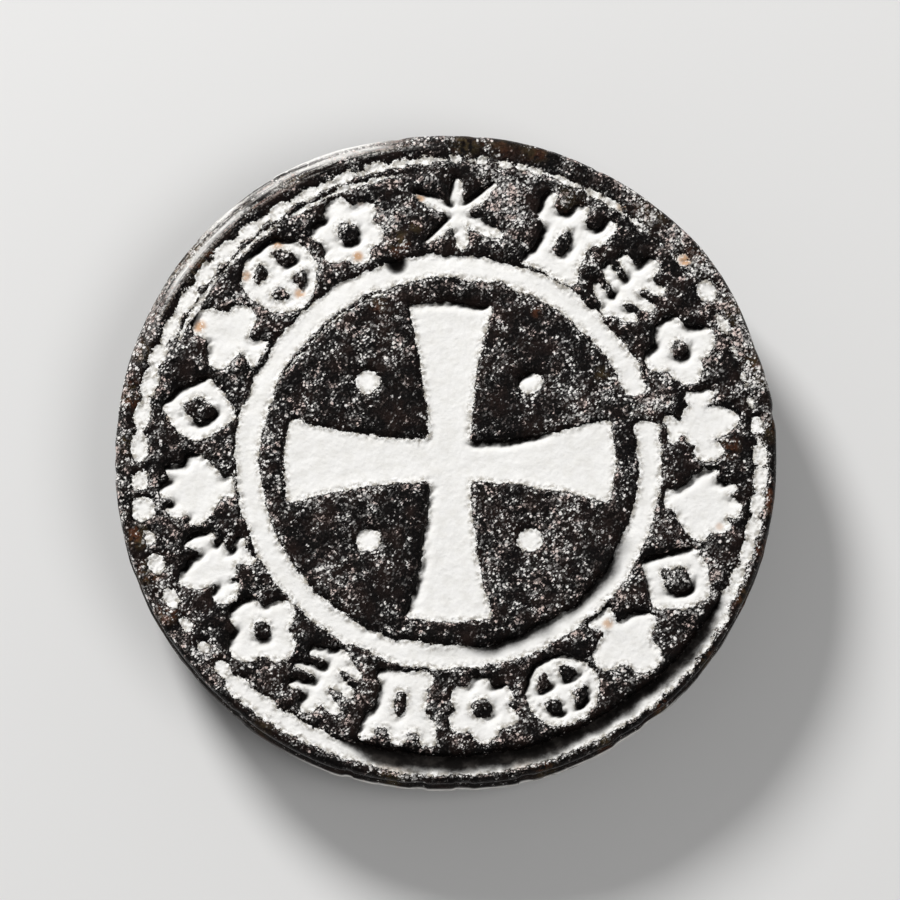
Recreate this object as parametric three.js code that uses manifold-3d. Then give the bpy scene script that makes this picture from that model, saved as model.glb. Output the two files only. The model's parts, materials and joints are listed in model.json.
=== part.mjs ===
// A medieval seal matrix: a round engraved disc of copper alloy, lying face up on its folded handle.
// Millimetres, +Z up. The origin is below the middle of the disc, on the surface the matrix lies on.
// The engraved face looks along +Z. The handle folds about an axis along X, at the back of the disc.

import * as THREE from 'three';
import { mergeVertices } from 'three/addons/utils/BufferGeometryUtils.js';
import Module from 'manifold-3d';

const wasm = await Module();
wasm.setup();

// The disc
const discDiameter = 30;
const discThickness = 2.2;
const rimRounding = 0.3;
const rimWaviness = 0.07;
const rimPoints = 96;

// The engraving as a whole: it sits a little off the middle of the disc, and its cuts have sloping walls
const engravingX = 0.16;
const engravingY = -0.14;
const wallLean = 0.15;
const fillClearance = 0.03;
const fillBelowFace = 0.28;

// The beaded border, measured in from the rim: punched beads joined by a thin groove
const borderInset = 1.05;
const beadCount = 70;
const beadWidth = 0.84;
const beadGrooveWidth = 0.44;
const borderDepth = 0.6;
const pointsPerBead = 4;

// The band inside the border, where a star comes first and ornaments follow it clockwise. A gap is what
// lies between two squares of the band's height, on the circle through their middles
const bandHeight = 3.5;
const bandClearance = 0.19;
const starTurn = 1.8;
const starDepth = 0.75;
const starGap = 1.58;
const ornamentDepth = 0.85;
const leastOrnamentGap = 0.14;
const handTurn = 3;
const handShift = 0.07;
const handScale = 0.03;

// The plain ring inside the band
const ringWidth = 1.1;
const ringDepth = 0.75;
const ringPoints = 72;

// The middle: a cross with spreading arms, clear of the ring, and four pellets in its corners
const crossClearance = 1.0;
const crossHalfWidth = 0.95;
const crossEndHalfWidth = 2.0;
const crossEndBow = 0.25;
const crossDepth = 0.85;
const pelletRadius = 0.62;
const pelletInset = 3.35;
const pelletDepth = 0.6;

// The hinge at the back, whose axis lies above the middle of the disc as the face is seen
const pinRadius = 0.5;
const pinFitClearance = 0.03;
const hingeClearance = 0.08;
const knuckleRadius = 1.2;
const knuckleWidth = 4.0;
const knuckleSideClearance = 0.1;
const foldGap = 0.25;
const hingeY = 5.2;

// The hinge ears
const lugWidth = 1.6;
const lugHalfLength = 1.3;
const lugFootFlare = 0.75;
const lugCornerRounding = 0.7;

// The pin's peened ends
const pinHeadRadius = 0.85;
const pinHeadHeight = 0.4;

// The handle
const handleReach = 16.6;
const handleShoulderHalfWidth = 3.4;
const handleShoulderRounding = 1.3;
const handleShoulderClearance = 0.1;
const handleNeckHalfWidth = 1.7;
const handleNeckDistance = 10.6;
const handleBevel = 0.4;
const lobeRadius = 1.75;
const lobeOffset = 1.75;
const lobeRise = 1.1;
const eyeRadius = 1.1;
const eyeRise = 0.9;

// Heights and radii that follow from the sizes above
const pinHeight = knuckleRadius;
const backHeight = pinHeight + knuckleRadius + foldGap;
const faceHeight = backHeight + discThickness;
const lugInnerX = knuckleWidth / 2 + knuckleSideClearance;
const lugOuterX = lugInnerX + lugWidth;
const discRadius = discDiameter / 2;
const borderRadius = discRadius - borderInset;
const bandRadius = borderRadius - beadWidth / 2 - bandClearance - bandHeight / 2;
const ringOuterRadius = bandRadius - bandHeight / 2 - bandClearance;
const ringInnerRadius = ringOuterRadius - ringWidth;
const crossReach = ringInnerRadius - crossClearance - crossEndBow;
const pelletDistance = ringInnerRadius - pelletInset;

// How finely round shapes are divided, how far cuts run past the face, and how far corners may move
const roundPoints = 24;
const overshoot = 0.2;
const mergeDistance = 1e-4;
const mostCornerStretch = 1.6;

// Materials
const finish = (color, roughness, metalness) => new THREE.MeshStandardMaterial({ color, roughness, metalness });
const bronze = () => finish(0x2b2622, 0.55, 0.85);
const wornBronze = () => finish(0x3a3026, 0.45, 0.9);
const powder = () => finish(0xece9e2, 1, 0);

const degrees = (angle) => THREE.MathUtils.degToRad(angle);
const at = (x, y) => new THREE.Vector2(x, y);
const polar = (radius, angle) => at(radius * Math.cos(angle), radius * Math.sin(angle));

// Booleans

function toSolid(geometry) {
  const plain = geometry.clone();
  plain.deleteAttribute('normal');
  plain.deleteAttribute('uv');
  const merged = mergeVertices(plain, mergeDistance);
  return new wasm.Manifold(new wasm.Mesh({
    numProp: 3,
    vertProperties: new Float32Array(merged.attributes.position.array),
    triVerts: new Uint32Array(merged.index.array),
  }));
}

function toGeometry(solid) {
  const mesh = solid.getMesh();
  const geometry = new THREE.BufferGeometry();
  geometry.setAttribute('position', new THREE.BufferAttribute(new Float32Array(mesh.vertProperties), 3));
  geometry.setIndex(new THREE.BufferAttribute(new Uint32Array(mesh.triVerts), 1));
  geometry.computeVertexNormals();
  return geometry;
}

// Outlines: the first loop runs counter-clockwise, and the others are islands that run clockwise

function wound(points, clockwise) {
  return THREE.ShapeUtils.isClockWise(points) === clockwise ? points : points.slice().reverse();
}

function circle(radius, count) {
  return Array.from({ length: count }, (_, i) => polar(radius, (2 * Math.PI * i) / count));
}

// Moves each point of a loop to its left, which is inwards for the outer loop and outwards for an island
function inset(points, distance) {
  return points.map((point, i) => {
    const before = points[(i + points.length - 1) % points.length];
    const after = points[(i + 1) % points.length];
    const into = point.clone().sub(before).normalize();
    const out = after.clone().sub(point).normalize();
    const left = at(-into.y - out.y, into.x + out.x);
    const stretch = Math.min(1 / (1 + into.dot(out)), mostCornerStretch);
    return point.clone().addScaledVector(left, distance * stretch);
  });
}

// A solid between two levels, whose loops are set in by a given distance at each level
function loft(loops, low, lowInset, high, highInset) {
  const levels = [
    { z: low, loops: loops.map((loop) => inset(loop, lowInset)) },
    { z: high, loops: loops.map((loop) => inset(loop, highInset)) },
  ];
  const pointCount = loops.reduce((sum, loop) => sum + loop.length, 0);
  const positions = [];
  const index = [];
  levels.forEach((level) => level.loops.flat().forEach((p) => positions.push(p.x, p.y, level.z)));

  const [contour, ...islands] = loops;
  for (const [a, b, c] of THREE.ShapeUtils.triangulateShape(contour, islands)) {
    index.push(a, c, b);
    index.push(a + pointCount, b + pointCount, c + pointCount);
  }

  let start = 0;
  for (const loop of loops) {
    for (let i = 0; i < loop.length; i += 1) {
      const here = start + i;
      const next = start + ((i + 1) % loop.length);
      index.push(here, next, next + pointCount);
      index.push(here, next + pointCount, here + pointCount);
    }
    start += loop.length;
  }

  const geometry = new THREE.BufferGeometry();
  geometry.setAttribute('position', new THREE.Float32BufferAttribute(positions, 3));
  geometry.setIndex(index);
  geometry.computeVertexNormals();
  return geometry;
}

// Outlines for the band, drawn upright round the origin, one unit being half the band's height. They are
// bent round the band when they are cut, so a straight side fans out with the band

function mirrored(half) {
  const other = half.filter((p) => p.x > 0).map((p) => at(-p.x, p.y)).reverse();
  return half.concat(other);
}

// A twig with pairs of short leaves
function sprig() {
  const half = [at(0.24, -1)];
  for (const [root, reach] of [[-0.66, 0.88], [-0.14, 0.94], [0.36, 0.76]]) {
    half.push(at(0.24, root - 0.18));
    half.push(at(reach, root + 0.06));
    half.push(at(reach - 0.06, root + 0.34));
    half.push(at(0.24, root + 0.2));
  }
  half.push(at(0.26, 0.84));
  half.push(at(0, 1.04));
  return [mirrored(half)];
}

// A flower with round petals, which stop just short of the notches between them, and an eye left standing
function flower(petals, petalRadius, petalDistance, eye) {
  const points = [];
  const steps = 6;
  const half = Math.PI / petals;
  const chord = petalDistance * Math.sin(half);
  const notch = polar(petalDistance * Math.cos(half) + Math.sqrt(petalRadius ** 2 - chord ** 2), half);
  const halfSpan = notch.sub(at(petalDistance, 0)).angle() * 0.96;
  for (let petal = 0; petal < petals; petal += 1) {
    const outward = Math.PI / 2 + 2 * half * petal;
    for (let step = 0; step <= steps; step += 1) {
      const angle = outward + halfSpan * ((2 * step) / steps - 1);
      points.push(polar(petalDistance, outward).add(polar(petalRadius, angle)));
    }
  }
  return [points, circle(eye, 8)];
}

// A lozenge with bowed sides and a lozenge left standing inside
function lozenge() {
  const ring = (height, width, bow) => {
    const corners = [[0, height], [-width, 0], [0, -height], [width, 0]];
    return corners.flatMap(([x, y], i) => {
      const [nextX, nextY] = corners[(i + 1) % 4];
      const middle = at((x + nextX) / 2, (y + nextY) / 2).multiplyScalar(1 + bow);
      return [at(x, y), middle];
    });
  };
  return [ring(1.04, 1, 0.14), ring(0.44, 0.38, 0.06)];
}

// A tower with a spreading foot and three merlons, and a pointed window left standing
function tower() {
  const half = [at(0, -1), at(0.9, -1), at(0.88, -0.7), at(0.68, -0.56), at(0.68, 0.16), at(0.93, 0.32)];
  half.push(at(0.93, 1), at(0.54, 1), at(0.52, 0.62), at(0.24, 0.62), at(0.2, 1));
  const window = [at(-0.15, -0.44), at(0.15, -0.44), at(0.15, 0.02), at(0, 0.24), at(-0.15, 0.02)];
  return [mirrored(half), window];
}

// A palmette of five leaves on a spreading foot, with a narrow slit left standing between the leaves
function palmette() {
  const root = at(0, -0.6);
  const reach = (angle, share) => {
    const tip = at(0.98 * Math.cos(degrees(angle)), 1.1 * Math.sin(degrees(angle)) - 0.08);
    return root.clone().lerp(tip, share);
  };
  const half = [at(0, -1), at(0.42, -1), at(0.28, -0.72)];
  half.push(reach(-8, 0.84), reach(0, 1), reach(15, 1.04), reach(27, 1));
  half.push(reach(34, 0.55), reach(41, 1), reach(54, 1.03), reach(64, 1));
  half.push(reach(70, 0.55), reach(77, 1), at(0, 1.06));
  return [mirrored(half)];
}

// A wheel of four spokes
function wheel() {
  const openings = [45, 135, 225, 315].map((angle) => (
    [[0.27, 0], [0.62, -28], [0.68, 0], [0.62, 28]].map(([radius, turn]) => polar(radius, degrees(angle + turn)))
  ));
  return [circle(0.98, 18), ...openings];
}

// A lily flower with a band round its waist and a spreading foot
function lily() {
  const half = new THREE.Path();
  half.moveTo(0, -0.9);
  half.lineTo(0.5, -1);
  half.lineTo(0.5, -0.72);
  half.lineTo(0.24, -0.62);
  half.lineTo(0.24, -0.48);
  half.lineTo(0.54, -0.48);
  half.lineTo(0.54, -0.18);
  half.lineTo(0.76, -0.38);
  half.lineTo(1.02, -0.12);
  half.quadraticCurveTo(1.12, 0.46, 0.74, 0.56);
  half.quadraticCurveTo(0.56, 0.46, 0.44, 0.16);
  half.quadraticCurveTo(0.52, 0.72, 0, 1.08);
  return [mirrored(half.getPoints(3))];
}

// A three-lobed leaf on a stalk
function trefoil() {
  const points = [at(-0.5, -1), at(0.5, -1), at(0.22, -0.5)];
  const steps = 6;
  for (const [outward, first, last] of [[-12, -86, 112], [90, -112, 112], [192, -112, 86]]) {
    const centre = polar(0.56, degrees(outward)).add(at(0, 0.08));
    for (let step = 0; step <= steps; step += 1) {
      const angle = degrees(outward + first + ((last - first) * step) / steps);
      points.push(polar(0.42, angle).add(centre));
    }
  }
  points.push(at(-0.22, -0.5));
  return [points];
}

const ornamentKinds = [
  tower,
  sprig,
  () => flower(4, 0.46, 0.56, 0.24),
  lily,
  palmette,
  lozenge,
  trefoil,
  wheel,
  () => flower(6, 0.34, 0.64, 0.28),
];

// A star cut as six uneven strokes from its middle, each given by its angle from the right and its length
function star() {
  const halfWidth = 0.155;
  const swollenHalfWidth = 0.21;
  const tipHalfWidth = 0.09;
  const strokes = [[-136, 1.2], [-83, 1.02], [-30, 1.38], [38, 1.34], [95, 1.06], [153, 1.28]];
  return [strokes.flatMap(([angle, length], i) => {
    const [previous] = strokes[(i + strokes.length - 1) % strokes.length];
    const halfTurn = degrees((angle - previous + 360) % 360) / 2;
    const along = degrees(angle);
    const place = (distance, side) => polar(distance, along).add(polar(side, along + Math.PI / 2));
    return [
      polar(halfWidth / Math.sin(halfTurn), along - halfTurn),
      place(length * 0.6, -swollenHalfWidth),
      place(length, -tipHalfWidth),
      place(length, tipHalfWidth),
      place(length * 0.6, swollenHalfWidth),
    ];
  })];
}

// The other outlines of the engraving, at their real size

function crossOutline() {
  const points = [];
  for (let arm = 0; arm < 4; arm += 1) {
    const along = (Math.PI / 2) * arm;
    const place = (distance, side) => polar(distance, along).add(polar(side, along + Math.PI / 2));
    const side = (share) => crossHalfWidth + (crossEndHalfWidth - crossHalfWidth) * share ** 2.2;
    points.push(place(crossHalfWidth, -crossHalfWidth));
    for (const share of [0.35, 0.6, 0.8, 1]) points.push(place(crossReach * share, -side(share)));
    points.push(place(crossReach + crossEndBow, 0));
    for (const share of [1, 0.8, 0.6, 0.35]) points.push(place(crossReach * share, side(share)));
  }
  return [points];
}

function ringOutline() {
  return [circle(ringOuterRadius, ringPoints), circle(ringInnerRadius, ringPoints)];
}

function borderOutline() {
  const edge = (side) => Array.from({ length: beadCount * pointsPerBead }, (_, i) => {
    const swell = Math.sqrt(Math.sin((Math.PI * (i % pointsPerBead)) / pointsPerBead));
    const halfWidth = (beadGrooveWidth + (beadWidth - beadGrooveWidth) * swell) / 2;
    return polar(borderRadius + side * halfWidth, (2 * Math.PI * i) / (beadCount * pointsPerBead));
  });
  return [edge(1), edge(-1)];
}

// Every cut of the engraving, as its loops in the disc's plane and its depth below the face

const cuts = [];

function addCut(name, loops, depth, move = (p) => p) {
  const place = (p) => move(p).add(at(engravingX, engravingY));
  cuts.push({ name, depth, loops: loops.map((loop, i) => wound(loop.map(place), i > 0)) });
}

addCut('ring_fill', ringOutline(), ringDepth);
addCut('border_fill', borderOutline(), borderDepth);
addCut('cross_fill', crossOutline(), crossDepth);

for (let i = 0; i < 4; i += 1) {
  const middle = polar(pelletDistance, degrees(45 + 90 * i));
  addCut(`pellet_fill_${i + 1}`, [circle(pelletRadius, 12)], pelletDepth, (p) => p.clone().add(middle));
}

// Angles round the band are measured clockwise from the top, as the ornaments are read
const bandAngle = (angle) => Math.PI / 2 - degrees(angle);

const starMiddle = polar(bandRadius, bandAngle(starTurn));
addCut('star_fill', star(), starDepth, (p) => p.clone().multiplyScalar(bandHeight / 2).add(starMiddle));

const turnAcross = (length) => THREE.MathUtils.radToDeg(length / bandRadius);
const starStep = turnAcross(bandHeight + starGap);
const ornamentArc = 360 - 2 * starStep;
const ornamentCount = 1 + Math.floor(ornamentArc / turnAcross(bandHeight + leastOrnamentGap));

for (let i = 0; i < ornamentCount; i += 1) {
  const kind = ornamentKinds[i % ornamentKinds.length];
  const angle = bandAngle(starTurn + starStep + (ornamentArc * i) / (ornamentCount - 1));
  const radius = bandRadius + handShift * Math.sin(3.7 * i + 1);
  const tilt = degrees(handTurn) * Math.sin(2.3 * i);
  const scale = (bandHeight / 2) * (1 + handScale * Math.sin(5.1 * i + 2));
  const bend = (p) => {
    const upright = p.clone().multiplyScalar(scale).rotateAround(at(0, 0), tilt);
    return polar(radius + upright.y, angle - upright.x / radius);
  };
  addCut(`ornament_fill_${String(i + 1).padStart(2, '0')}`, kind(), ornamentDepth, bend);
}

// The disc: a plate with rounded edges and a slightly wavy rim, less its cuts

function makeDisc() {
  const outline = new THREE.Shape(Array.from({ length: rimPoints }, (_, i) => {
    const angle = (2 * Math.PI * i) / rimPoints;
    const wave = Math.cos(2 * angle + 0.6) + 0.6 * Math.cos(6 * angle) + 0.4 * Math.cos(10 * angle + 1);
    return polar(discRadius - rimWaviness / 2 + (rimWaviness / 4) * wave, angle);
  }));
  const plate = new THREE.ExtrudeGeometry(outline, {
    depth: discThickness - 2 * rimRounding,
    bevelThickness: rimRounding,
    bevelSize: rimRounding,
    bevelOffset: -rimRounding,
    bevelSegments: 2,
  });
  plate.translate(0, 0, backHeight + rimRounding);
  let solid = toSolid(plate);
  for (const cut of cuts) {
    const floor = faceHeight - cut.depth;
    const mouth = faceHeight + overshoot;
    const tool = loft(cut.loops, floor, cut.depth * wallLean, mouth, -overshoot * wallLean);
    solid = solid.subtract(toSolid(tool));
  }
  return toGeometry(solid);
}

// The powder in a cut lies on its floor and ends a little below the face
function makeFill(cut) {
  const floorInset = cut.depth * wallLean + fillClearance;
  const topInset = fillBelowFace * wallLean + fillClearance;
  return loft(cut.loops, faceHeight - cut.depth, floorInset, faceHeight - fillBelowFace, topInset);
}

// A profile across the hinge, drawn as distance from the pin towards +Y and height above it, and stretched
// along X between two planes
function acrossHinge(shape, fromX, toX) {
  const steps = { depth: toX - fromX, bevelEnabled: false, curveSegments: 6 };
  const geometry = new THREE.ExtrudeGeometry(shape, steps);
  geometry.rotateZ(Math.PI / 2);
  geometry.rotateY(Math.PI / 2);
  geometry.translate(fromX, hingeY, pinHeight);
  return geometry;
}

function alongPin(radius, fromX, toX) {
  return acrossHinge(new THREE.Shape(circle(radius, roundPoints)), fromX, toX);
}

// A hinge ear: a flat-bottomed block with rounded lower corners and a spreading foot on the disc's back
function makeLug(fromX, toX) {
  const foot = backHeight - pinHeight;
  const bottom = -pinHeight;
  const shape = new THREE.Shape();
  shape.moveTo(-lugHalfLength + lugCornerRounding, bottom);
  shape.lineTo(lugHalfLength - lugCornerRounding, bottom);
  shape.quadraticCurveTo(lugHalfLength, bottom, lugHalfLength, bottom + lugCornerRounding);
  shape.lineTo(lugHalfLength, foot - lugFootFlare);
  shape.quadraticCurveTo(lugHalfLength, foot, lugHalfLength + lugFootFlare, foot);
  shape.lineTo(-lugHalfLength - lugFootFlare, foot);
  shape.quadraticCurveTo(-lugHalfLength, foot, -lugHalfLength, foot - lugFootFlare);
  shape.lineTo(-lugHalfLength, bottom + lugCornerRounding);
  shape.quadraticCurveTo(-lugHalfLength, bottom, -lugHalfLength + lugCornerRounding, bottom);
  shape.holes.push(new THREE.Path(circle(pinRadius + pinFitClearance, roundPoints)));
  return acrossHinge(shape, fromX, toX);
}

// The pin: a turned profile along its own axis, with a low dome peened over at each end
function makePin() {
  const half = lugOuterX;
  const dome = [
    at(pinRadius, half),
    at(pinHeadRadius, half),
    at(pinHeadRadius * 0.85, half + pinHeadHeight * 0.6),
    at(pinHeadRadius * 0.45, half + pinHeadHeight),
    at(0, half + pinHeadHeight),
  ];
  const lower = dome.map((p) => at(p.x, -p.y)).reverse();
  const geometry = new THREE.LatheGeometry(lower.concat(dome), roundPoints);
  geometry.rotateZ(-Math.PI / 2);
  geometry.translate(0, hingeY, pinHeight);
  return geometry;
}

// The handle lies flat below the disc, from its knuckle on the pin to a pierced three-lobed end. It is as
// thick as its knuckle, so it can swing right over and lie flat the other way, with its eye past the rim
function handleOutline() {
  const start = -knuckleRadius * 0.2;
  const shoulder = -lugHalfLength - lugFootFlare - handleShoulderClearance;
  const waist = shoulder - handleShoulderRounding;
  const half = knuckleWidth / 2;
  const wide = handleShoulderHalfWidth;
  const narrow = handleNeckHalfWidth;
  const neck = -handleNeckDistance;
  const tipLobeY = -handleReach + lobeRadius;
  const sideLobeY = tipLobeY + lobeRise;
  const shape = new THREE.Shape();
  shape.moveTo(-half, start);
  shape.lineTo(-half, shoulder);
  shape.lineTo(-wide + handleShoulderRounding, shoulder);
  shape.quadraticCurveTo(-wide, shoulder, -wide, waist);
  shape.quadraticCurveTo(-narrow, neck / 2, -narrow, neck);
  shape.absarc(-lobeOffset, sideLobeY, lobeRadius, degrees(115), degrees(290), false);
  shape.absarc(0, tipLobeY, lobeRadius, degrees(200), degrees(340), false);
  shape.absarc(lobeOffset, sideLobeY, lobeRadius, degrees(250), degrees(425), false);
  shape.lineTo(narrow, neck);
  shape.quadraticCurveTo(narrow, neck / 2, wide, waist);
  shape.quadraticCurveTo(wide, shoulder, wide - handleShoulderRounding, shoulder);
  shape.lineTo(half, shoulder);
  shape.lineTo(half, start);
  return shape;
}

function makeHandle() {
  const leaf = new THREE.ExtrudeGeometry(handleOutline(), {
    depth: 2 * knuckleRadius - 2 * handleBevel,
    bevelThickness: handleBevel,
    bevelSize: handleBevel,
    bevelOffset: -handleBevel,
    bevelSegments: 2,
    curveSegments: 8,
  });
  leaf.translate(0, hingeY, handleBevel);
  const eye = new THREE.CylinderGeometry(eyeRadius, eyeRadius, 4 * knuckleRadius, roundPoints);
  eye.rotateX(Math.PI / 2);
  eye.translate(0, hingeY - handleReach + lobeRadius + eyeRise, knuckleRadius);
  const knuckle = toSolid(alongPin(knuckleRadius, -knuckleWidth / 2, knuckleWidth / 2));
  const bore = toSolid(alongPin(pinRadius + hingeClearance, -knuckleWidth, knuckleWidth));
  return toGeometry(toSolid(leaf).subtract(toSolid(eye)).add(knuckle).subtract(bore));
}

// The assembly

const seal = new THREE.Group();
seal.name = 'seal_matrix';

function addPiece(parent, name, geometry, material) {
  const mesh = new THREE.Mesh(geometry, material);
  mesh.name = name;
  parent.add(mesh);
}

const matrix = new THREE.Group();
addPiece(matrix, 'disc', makeDisc(), bronze());
addPiece(matrix, 'left_lug', makeLug(-lugOuterX, -lugInnerX), bronze());
addPiece(matrix, 'right_lug', makeLug(lugInnerX, lugOuterX), bronze());
addPiece(matrix, 'hinge_pin', makePin(), wornBronze());
for (const cut of cuts) addPiece(matrix, cut.name, makeFill(cut), powder());
seal.add(matrix);

const handle = new THREE.Group();
addPiece(handle, 'folding_handle', makeHandle(), wornBronze());
seal.add(handle);

export default seal;
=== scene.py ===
# Looks of a medieval seal matrix: a round engraved disc of dark bronze with white powder packed in its
# cuts, lying face up on its folded handle. Lengths are in millimetres until a mesh is made from them.
import json
import math
from functools import cached_property, partialmethod

import bpy
import numpy as np
from mathutils import Matrix, Vector


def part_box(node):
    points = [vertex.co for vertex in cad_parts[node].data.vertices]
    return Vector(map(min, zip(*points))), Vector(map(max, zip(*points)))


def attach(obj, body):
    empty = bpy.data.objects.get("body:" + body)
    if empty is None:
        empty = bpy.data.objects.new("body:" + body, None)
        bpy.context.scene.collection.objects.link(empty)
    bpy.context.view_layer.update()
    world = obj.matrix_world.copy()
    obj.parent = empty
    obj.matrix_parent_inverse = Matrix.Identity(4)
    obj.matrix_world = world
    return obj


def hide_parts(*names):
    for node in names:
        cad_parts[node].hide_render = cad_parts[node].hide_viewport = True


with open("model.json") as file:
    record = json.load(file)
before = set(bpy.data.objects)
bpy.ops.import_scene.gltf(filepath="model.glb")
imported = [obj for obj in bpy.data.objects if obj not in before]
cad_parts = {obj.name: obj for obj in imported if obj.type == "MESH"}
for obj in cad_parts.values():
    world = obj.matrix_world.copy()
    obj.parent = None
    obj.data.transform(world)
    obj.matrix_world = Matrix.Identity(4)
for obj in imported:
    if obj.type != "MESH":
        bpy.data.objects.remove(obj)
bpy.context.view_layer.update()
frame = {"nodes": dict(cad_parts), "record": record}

MM = 0.001
TURN = 2 * math.pi


def corners(node):
    """The lowest and highest corner of a CAD node, in millimetres"""
    low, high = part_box(node)
    return np.array(low) / MM, np.array(high) / MM


# Levels and the engraving's middle, from the frame, and the disc's plain radius
FACE = corners("disc")[1][2]
BACK = corners("disc")[0][2]
CENTRE = (corners("ring_fill")[0] + corners("ring_fill")[1])[:2] / 2
RADIUS = 15

# The outline of each CAD fill's top lies this far inside the mouth of its cut
FILL_INSET = 0.072

# How finely the disc is divided. A ring of points inside the halving radius has half as many as the
# outer ones, a ring inside half that radius a quarter, and so on
RING_POINTS = 1152
LEAST_RING_POINTS = 18
HALVING_RADIUS = 7.2
FACE_STEP = 0.075
BEVEL_STEPS = 9
SIDE_STEPS = 17
ROUNDING_STEPS = 4
BACK_STEP = 0.3
BACK_RADIUS = 14.4

# The disc's surface. The face's rings are true circles up to a radius, and the bevel is wider on one side,
# which is given clockwise from the top
ROUND_UP_TO = 8
FACE_SINK = 0.035
PIT_DEPTH = 0.05
RIM_GROWTH = 0.07
NICK_DEPTH = 0.07
BEVEL_WIDTH = 0.26
BEVEL_EXTRA = 0.36
BEVEL_SIDE = 318
BEVEL_DROP = 0.3
BACK_ROUNDING = 0.22
BACK_GROWTH = 0.03

# Points of the CAD disc's side wall: how far from its back and its face, and from what radius on, they lie
SIDE_ABOVE_BACK = 0.35
SIDE_BELOW_FACE = 0.25
SIDE_LEAST_RADIUS = 14.7

# How far the rim's worn outline stands out from its even shape, by the angle clockwise from the top
RIM_SHAPE = [
    (0, 0.10), (10, 0.15), (20, 0.12), (40, 0.13), (50, 0.20), (60, 0.10), (70, -0.08), (80, -0.02),
    (92, -0.10), (105, -0.05), (130, 0.00), (150, 0.08), (165, 0.08), (180, 0.03), (200, 0.12),
    (220, 0.00), (250, -0.05), (275, -0.10), (290, 0.00), (305, 0.12), (320, 0.18), (330, 0.26),
    (340, 0.20), (350, 0.06), (360, 0.10),
]

# A span holds the angles clockwise from the top at which something starts to show, is whole, starts to
# fade and ends. These are the rim's worn zone, whose worn metal is painted bright as a highlight, and the
# painted highlight line along its back edge
WORN_HIGHLIGHT_SPAN = (284, 306, 345, 360)
RIM_HIGHLIGHT_BRIGHTNESS = 0.66
BACK_HIGHLIGHT_SPAN = (128, 146, 198, 214)
BACK_HIGHLIGHT_HEIGHT = 0.38
BACK_HIGHLIGHT_HALF_WIDTH = 0.2
FAINT_BACK_HIGHLIGHT = 0.16
BRIGHT_BACK_HIGHLIGHT = 0.90

# Painted highlight lines in the rim's worn zone: how far in from the rim one lies, its half width, and its
# span
RIM_HIGHLIGHT_LINES = [
    (0.05, 0.10, 311, 319, 344, 353),
    (0.48, 0.09, 299, 304, 317, 324),
    (0.36, 0.08, 322, 328, 345, 352),
]

# The cuts: how far their walls and rounded shoulders reach, and how unsteady the hand was
WALL_WIDTH = 0.36
SHOULDER_WIDTH = 0.13
SHOULDER_DROP = 0.09
WALL_CURVE = 1.8
FLOOR_DROP = 0.04
WOBBLE = 0.055
WOBBLE_SIZE = 0.85
CORNER_SOFTENING = 8
OUTLINE_STEP = 0.09
LEAST_OUTLINE_POINTS = 12

# A cut that runs round the middle reaches this far from its own circle, and where a fine line or a hollow
# doesn't show, it counts as this far off
ROUND_CUT_REACH = 1.3
HIDDEN_OFF = 0.2

# Unevenness, as noise layers: the height of each one, the size of its lumps, and its number
RAGGED_EDGE = [(0.04, 0.19, 31), (0.03, 0.1, 33)]
RING_OUTSIDE = [(0.09, 0.5, 7), (0.07, 1.3, 8)]
RING_INSIDE = [(0.08, 0.45, 9), (0.05, 1.5, 10)]
RING_LOSS_EDGE = [(0.15, 0.7, 21)]
GROOVE_WANDER = [(0.025, 0.4, 11)]
GROOVE_EDGE = [(0.05, 0.5, 12)]
HOLLOW_EDGE = [(0.04, 0.8, 13)]
HOLLOW_LOSS_EDGE = [(0.06, 0.3, 19), (0.07, 0.8, 16)]
INNER_LINE_STRENGTH = [(0.3, 0.9, 22)]
INNER_LINE_WANDER = [(0.04, 0.7, 23)]
RIM_LUMPS = [(0.02, 2.0, 25), (0.012, 0.5, 26)]
RIM_LINE_WANDER = [(0.05, 1.2, 15)]
BEVEL_LUMPS = [(0.05, 1.1, 27)]
DUST_CLOUDS = [(0.2, 1.8, 38)]

# Slits narrower than this angle have worn back by this share of their length
NARROW_SLIT = 35
SLIT_WEAR = 0.55

# The powder: how finely its surface is divided, how far it lies below the face, and its fine lumps
POWDER_STEP = 0.045
FINE_LUMPS = 0.006
FINE_LUMPS_AT_WALL = 0.035
POWDER_AT_WALL = 0.08
POWDER_SAG = 0.10
POWDER_SAG_WIDTH = 0.3

# The powder is a crust. Its base lies below the lining of the cut, and beyond the cut's edge the lining
# counts as a little above the powder
CRUST_OVERLAP = 0.04
CRUST_THICKNESS = 0.05
LINING_RISE = 0.02

# The powder has shrunk away from the walls on one side, the side that faces the key light, which is given
# clockwise from the top. There the powder is painted dark as a shadow, and on the metal the slopes that
# face this side get more pale specks, as painted highlight
KEY_LIGHT_SIDE = 327
SHRINKAGE = 0.45
SHRINKAGE_BLURS = 9
SHRINKAGE_SHARES = {"Outline": 1.0, "Ring": 0.4, "Border": 0.15}

# How much lower the powder lies where all of it that can be lost is lost
LOSS_DEPTH = 0.24

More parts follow.
